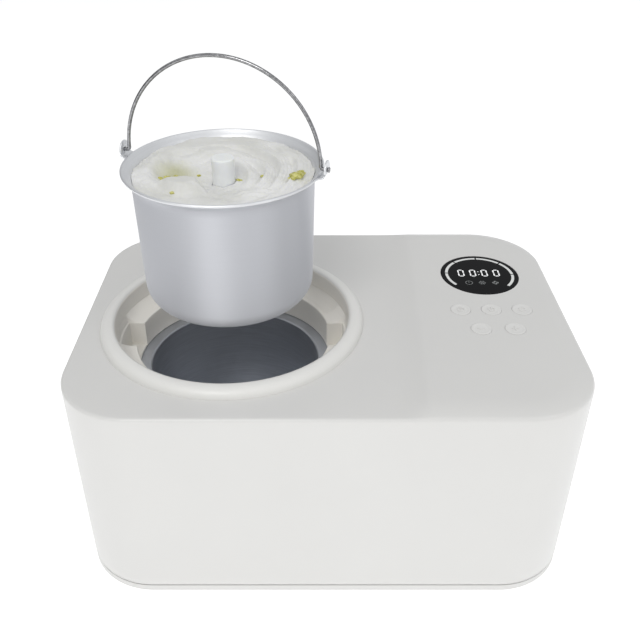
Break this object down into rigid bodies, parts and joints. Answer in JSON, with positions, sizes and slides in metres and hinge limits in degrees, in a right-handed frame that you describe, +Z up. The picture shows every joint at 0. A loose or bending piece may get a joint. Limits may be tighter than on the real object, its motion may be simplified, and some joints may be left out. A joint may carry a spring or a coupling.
{
  "type": "ice cream maker",
  "caption": "Counter-top ice cream maker with a built-in compressor: a rounded white box with a round well, a flush round display, push keys and a lift-out metal bowl with a wire bail.",
  "frame": {"origin": "on the table under the middle of the machine", "axes": "+Z up, -Y towards the user, +X to the user's right, where the display is"},
  "size_m": [0.43, 0.304, 0.4305],
  "materials": {
    "housing_plastic": "satin moulded",
    "collar_plastic": "satin moulded",
    "tray_plastic": "fine texture",
    "key_plastic": "satin moulded",
    "foot_rubber": "matt",
    "window_acrylic": "polished",
    "light_guide_acrylic": "frosted",
    "led_plastic": "matt",
    "circuit_board": "solder mask",
    "switch_plastic": "matt",
    "screw_steel": "zinc plated",
    "well_metal": "anodised grey",
    "copper_tube": "drawn copper",
    "foam": "foam skin",
    "sensor_plastic": "matt",
    "bowl_aluminium": "satin spun",
    "bail_wire": "polished wire",
    "paddle_plastic": "translucent white",
    "ice_cream": "soft, churned",
    "gearbox_plastic": "glass filled",
    "gear_plastic": "natural acetal",
    "shaft_steel": "ground",
    "bushing_bronze": "sintered",
    "seal_rubber": "matt",
    "motor_steel": "zinc plated",
    "compressor_paint": "black enamel",
    "base_steel": "black enamel",
    "cover_plastic": "matt",
    "fin_aluminium": "mill finish",
    "fan_plastic": "matt",
    "inlet_plastic": "matt",
    "cable_vinyl": "matt"
  },
  "bodies": {
    "machine": {"housing_shell": "housing_plastic", "base_tray": "tray_plastic", "rubber_feet": "foot_rubber", "base_screws": "screw_steel", "opening_collar": "collar_plastic", "display_window": "window_acrylic", "light_guide": "light_guide_acrylic", "led_module": "led_plastic", "display_board": "circuit_board", "tact_switches": "switch_plastic", "board_screws": "screw_steel", "evaporator_well": "well_metal", "evaporator_coil": "copper_tube", "insulation_jacket": "foam", "temperature_sensor": "sensor_plastic", "gearbox_housing": "gearbox_plastic", "gearbox_cover": "gearbox_plastic", "gearbox_screws": "screw_steel", "idler_pin": "shaft_steel", "lower_bushing": "bushing_bronze", "upper_bushing": "bushing_bronze", "shaft_seal": "seal_rubber", "drive_motor": "motor_steel", "compressor": "compressor_paint", "compressor_base": "base_steel", "compressor_grommets": "seal_rubber", "terminal_cover": "cover_plastic", "condenser": "fin_aluminium", "fan_frame": "fan_plastic", "fan_motor": "fan_plastic", "fan_screws": "screw_steel", "filter_drier": "copper_tube", "suction_tube": "copper_tube", "discharge_tube": "copper_tube", "liquid_tube": "copper_tube", "capillary_tube": "copper_tube", "power_board": "circuit_board", "power_inlet": "inlet_plastic", "ribbon_cable": "cable_vinyl"},
    "contents": {"ice_cream": "ice_cream"},
    "bowl": {"bowl": "bowl_aluminium"},
    "bail": {"bail": "bail_wire"},
    "paddle": {"paddle": "paddle_plastic"},
    "drive_shaft": {"drive_shaft": "shaft_steel", "output_gear": "gear_plastic"},
    "reduction_gear": {"reduction_gear": "gear_plastic"},
    "motor_pinion": {"motor_pinion": "shaft_steel"},
    "fan_rotor": {"fan_rotor": "fan_plastic"},
    "timer_key": {"timer_key": "key_plastic"},
    "power_key": {"power_key": "key_plastic"},
    "mix_key": {"mix_key": "key_plastic"},
    "minus_key": {"minus_key": "key_plastic"},
    "plus_key": {"plus_key": "key_plastic"}
  },
  "joints": [
    {"name": "bowl_lift", "type": "slide", "parent": "machine", "child": "contents", "axis": [0, 0, 1], "range_m": [-0.184, 0]},
    {"name": "bowl_turn", "type": "hinge", "parent": "contents", "child": "bowl", "pos_m": [-0.083, -0.013, 0.29], "axis": [0, 0, -1], "range_deg": [-15.5, 0]},
    {"name": "bail_swing", "type": "hinge", "parent": "bowl", "child": "bail", "pos_m": [-0.083, -0.013, 0.349], "axis": [0.9659, -0.2588, 0], "range_deg": [-85, 85]},
    {"name": "paddle_spin", "type": "hinge", "parent": "contents", "child": "paddle", "pos_m": [-0.083, -0.013, 0.29], "axis": [0, 0, 1], "continuous": true},
    {"name": "drive_spin", "type": "hinge", "parent": "machine", "child": "drive_shaft", "pos_m": [-0.083, -0.013, 0.015], "axis": [0, 0, 1], "continuous": true},
    {"name": "reduction_spin", "type": "hinge", "parent": "machine", "child": "reduction_gear", "pos_m": [-0.01911, -0.04279, 0.02], "axis": [0, 0, 1], "continuous": true},
    {"name": "motor_spin", "type": "hinge", "parent": "machine", "child": "motor_pinion", "pos_m": [0.0253, -0.0635, 0.03], "axis": [0, 0, 1], "continuous": true},
    {"name": "fan_spin", "type": "hinge", "parent": "machine", "child": "fan_rotor", "pos_m": [0.17, -0.046, 0.068], "axis": [1, 0, 0], "continuous": true},
    {"name": "timer_press", "type": "slide", "parent": "machine", "child": "timer_key", "axis": [0, 0, 1], "range_m": [-0.001, 0], "stiffness_N_per_m": 300},
    {"name": "power_press", "type": "slide", "parent": "machine", "child": "power_key", "axis": [0, 0, 1], "range_m": [-0.001, 0], "stiffness_N_per_m": 300},
    {"name": "mix_press", "type": "slide", "parent": "machine", "child": "mix_key", "axis": [0, 0, 1], "range_m": [-0.001, 0], "stiffness_N_per_m": 300},
    {"name": "minus_press", "type": "slide", "parent": "machine", "child": "minus_key", "axis": [0, 0, 1], "range_m": [-0.001, 0], "stiffness_N_per_m": 300},
    {"name": "plus_press", "type": "slide", "parent": "machine", "child": "plus_key", "axis": [0, 0, 1], "range_m": [-0.001, 0], "stiffness_N_per_m": 300}
  ],
  "couplings": [
    {"joint": "bowl_turn", "follows": "bowl_lift", "rad_per_m": 1.4228},
    {"joint": "paddle_spin", "follows": "drive_spin", "ratio": 1},
    {"joint": "reduction_spin", "follows": "drive_spin", "ratio": -5.7143},
    {"joint": "motor_spin", "follows": "drive_spin", "ratio": 34.286}
  ]
}
